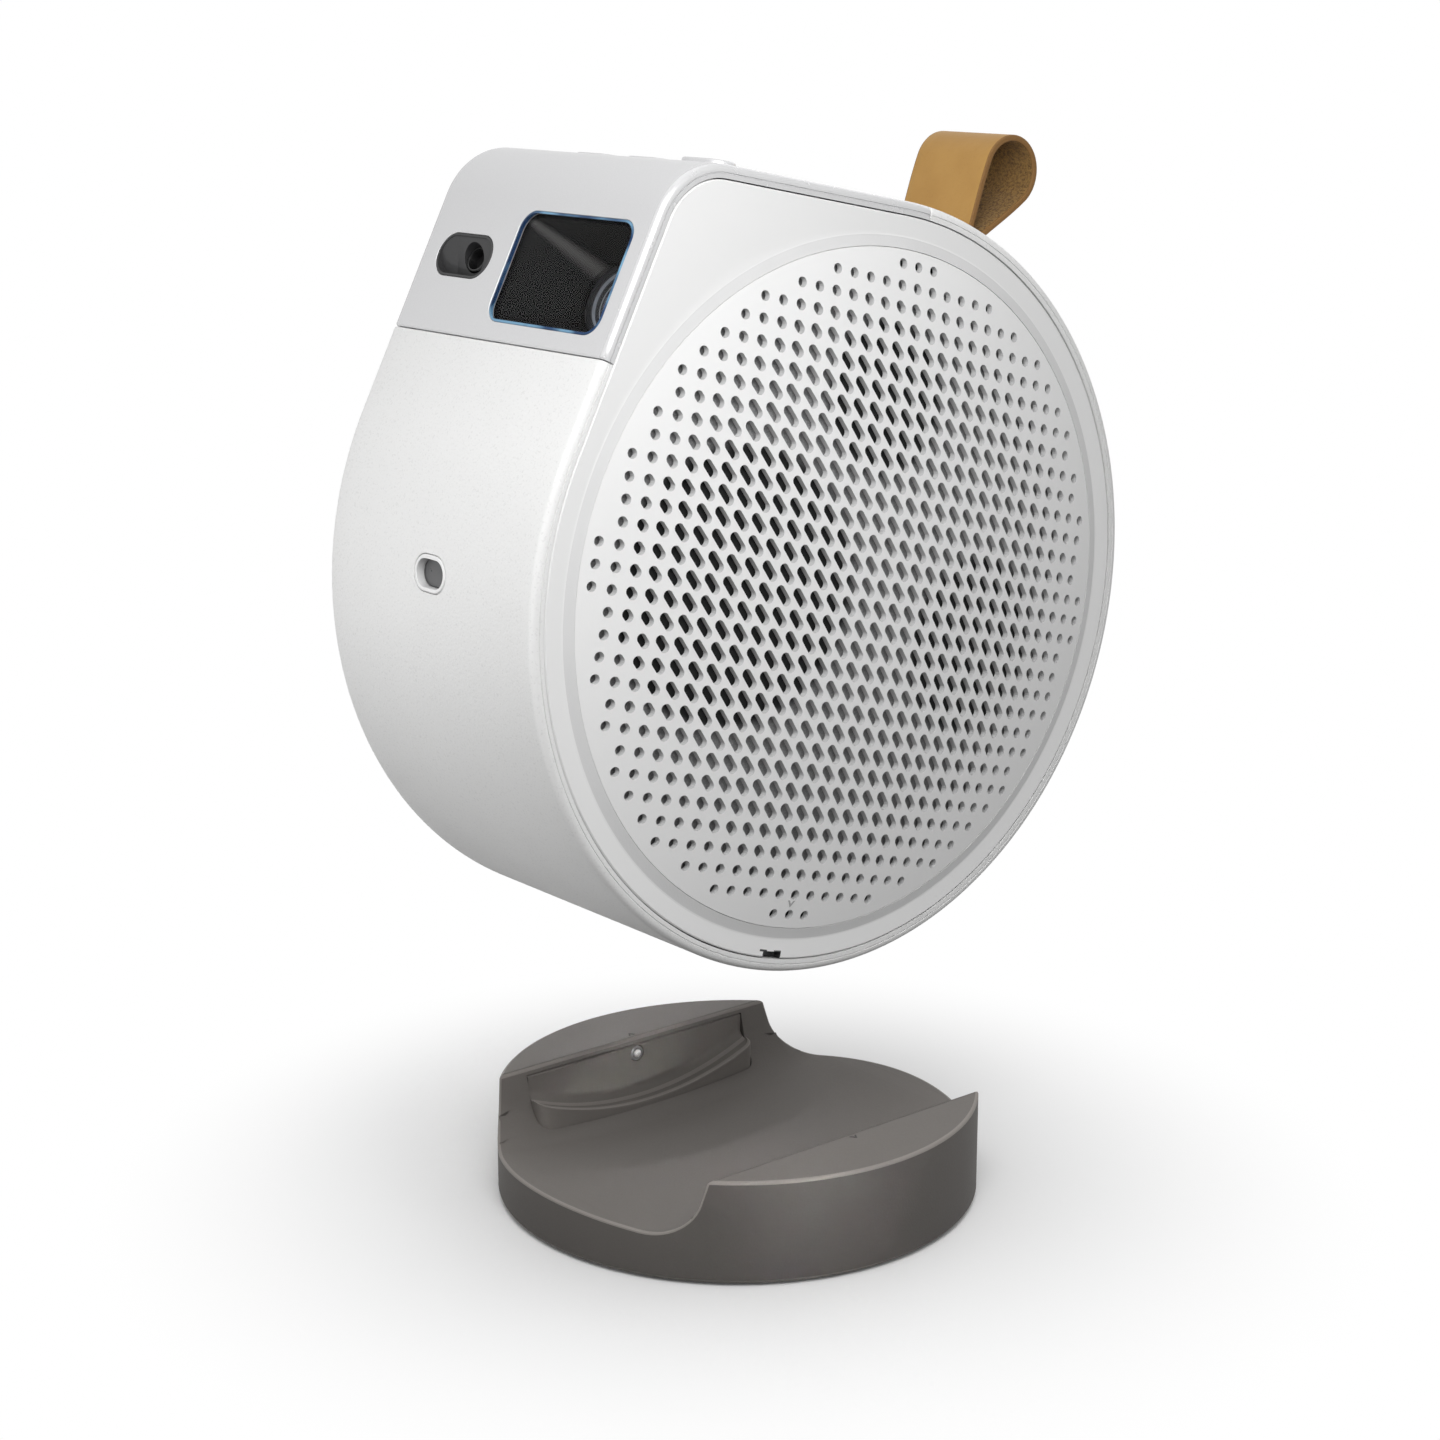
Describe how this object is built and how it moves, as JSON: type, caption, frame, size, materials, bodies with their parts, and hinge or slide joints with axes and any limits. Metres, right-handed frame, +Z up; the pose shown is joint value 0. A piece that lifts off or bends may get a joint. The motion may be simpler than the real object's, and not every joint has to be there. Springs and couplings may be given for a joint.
{
  "type": "portable projector",
  "caption": "Portable drum-shaped projector with speaker grilles at its ends, a front projection window and a leather loop, lifted above the round dock that it sits and turns in.",
  "frame": {"origin": "centre of the dock's rubber foot, on the surface that the dock stands on", "axes": "+Z up, +X along the drum's axis towards the right grille, and the lens looks towards -Y"},
  "size_m": [0.125, 0.1848, 0.267],
  "materials": {
    "speckled_white": "fine speckled matte",
    "smooth_white": "smooth satin",
    "satin_silver": "satin metallic",
    "black_plastic": "matte",
    "dark_plastic": "satin",
    "grey_plastic": "matte",
    "dark_glass": "coated glass",
    "tan_leather": "smooth outside, napped inside",
    "dock_grey": "matte",
    "rubber": "matte",
    "bare_metal": "as extruded",
    "steel": "plain",
    "gold_plate": "plated",
    "circuit_green": "solder mask",
    "cell_wrap": "shrink wrap",
    "cone_paper": "paper cone in a black basket"
  },
  "bodies": {
    "dock": {"dock_shell": "dock_grey", "left_cradle": "dock_grey", "right_cradle": "dock_grey", "plunger_sleeve": "steel", "contact_spring": "steel", "dock_base": "dark_plastic", "dock_ballast": "steel", "dock_foot": "rubber", "dock_screw_1": "steel", "dock_screw_2": "steel", "dock_screw_3": "steel"},
    "contact": {"contact_pin": "gold_plate"},
    "carrier": {"right_driver": "cone_paper"},
    "projector": {"drum_band": "speckled_white", "top_panel": "satin_silver", "right_cover": "smooth_white", "left_cover": "smooth_white", "right_grille": "smooth_white", "left_grille": "smooth_white", "right_baffle": "black_plastic", "left_baffle": "black_plastic", "left_driver": "cone_paper", "lens_window": "dark_glass", "lens_shroud": "black_plastic", "lens_barrel": "dark_plastic", "projection_lens": "dark_glass", "optical_engine": "dark_plastic", "heat_sink": "bare_metal", "fan_frame": "black_plastic", "sensor_housing": "black_plastic", "sensor_lens": "dark_glass", "ir_bezel": "smooth_white", "ir_window": "dark_glass", "key_board": "circuit_green", "carry_loop": "tan_leather", "loop_clamp": "dark_plastic", "chassis": "grey_plastic", "main_board": "circuit_green", "battery_pack": "cell_wrap", "port_bezel": "dark_plastic", "hdmi_socket": "steel", "usb_socket": "steel", "audio_socket": "steel", "power_socket": "steel"},
    "left_key": {"key_left": "satin_silver"},
    "middle_key": {"key_middle": "satin_silver"},
    "right_key": {"key_right": "satin_silver"},
    "fan": {"fan_rotor": "black_plastic"}
  },
  "joints": [
    {"name": "projector_lift", "type": "slide", "parent": "dock", "child": "carrier", "axis": [0, 0, 1], "range_m": [-0.0595, 0]},
    {"name": "projector_tilt", "type": "hinge", "parent": "carrier", "child": "projector", "pos_m": [0, 0, 0.1641], "axis": [-1, 0, 0], "range_deg": [-43.6, 91.4]},
    {"name": "contact_press", "type": "slide", "parent": "dock", "child": "contact", "axis": [-1, 0, 0], "range_m": [0, 0.0005], "stiffness_N_per_m": 300},
    {"name": "left_key_press", "type": "slide", "parent": "projector", "child": "left_key", "axis": [0, -0.1891, -0.982], "range_m": [0, 0.0006], "stiffness_N_per_m": 400},
    {"name": "middle_key_press", "type": "slide", "parent": "projector", "child": "middle_key", "axis": [0, -0.1891, -0.982], "range_m": [0, 0.0006], "stiffness_N_per_m": 400},
    {"name": "right_key_press", "type": "slide", "parent": "projector", "child": "right_key", "axis": [0, -0.1891, -0.982], "range_m": [0, 0.0006], "stiffness_N_per_m": 400},
    {"name": "fan_spin", "type": "hinge", "parent": "projector", "child": "fan", "pos_m": [0.01535, 0.02915, 0.20376], "axis": [0, -0.8894, 0.4571], "continuous": true}
  ]
}
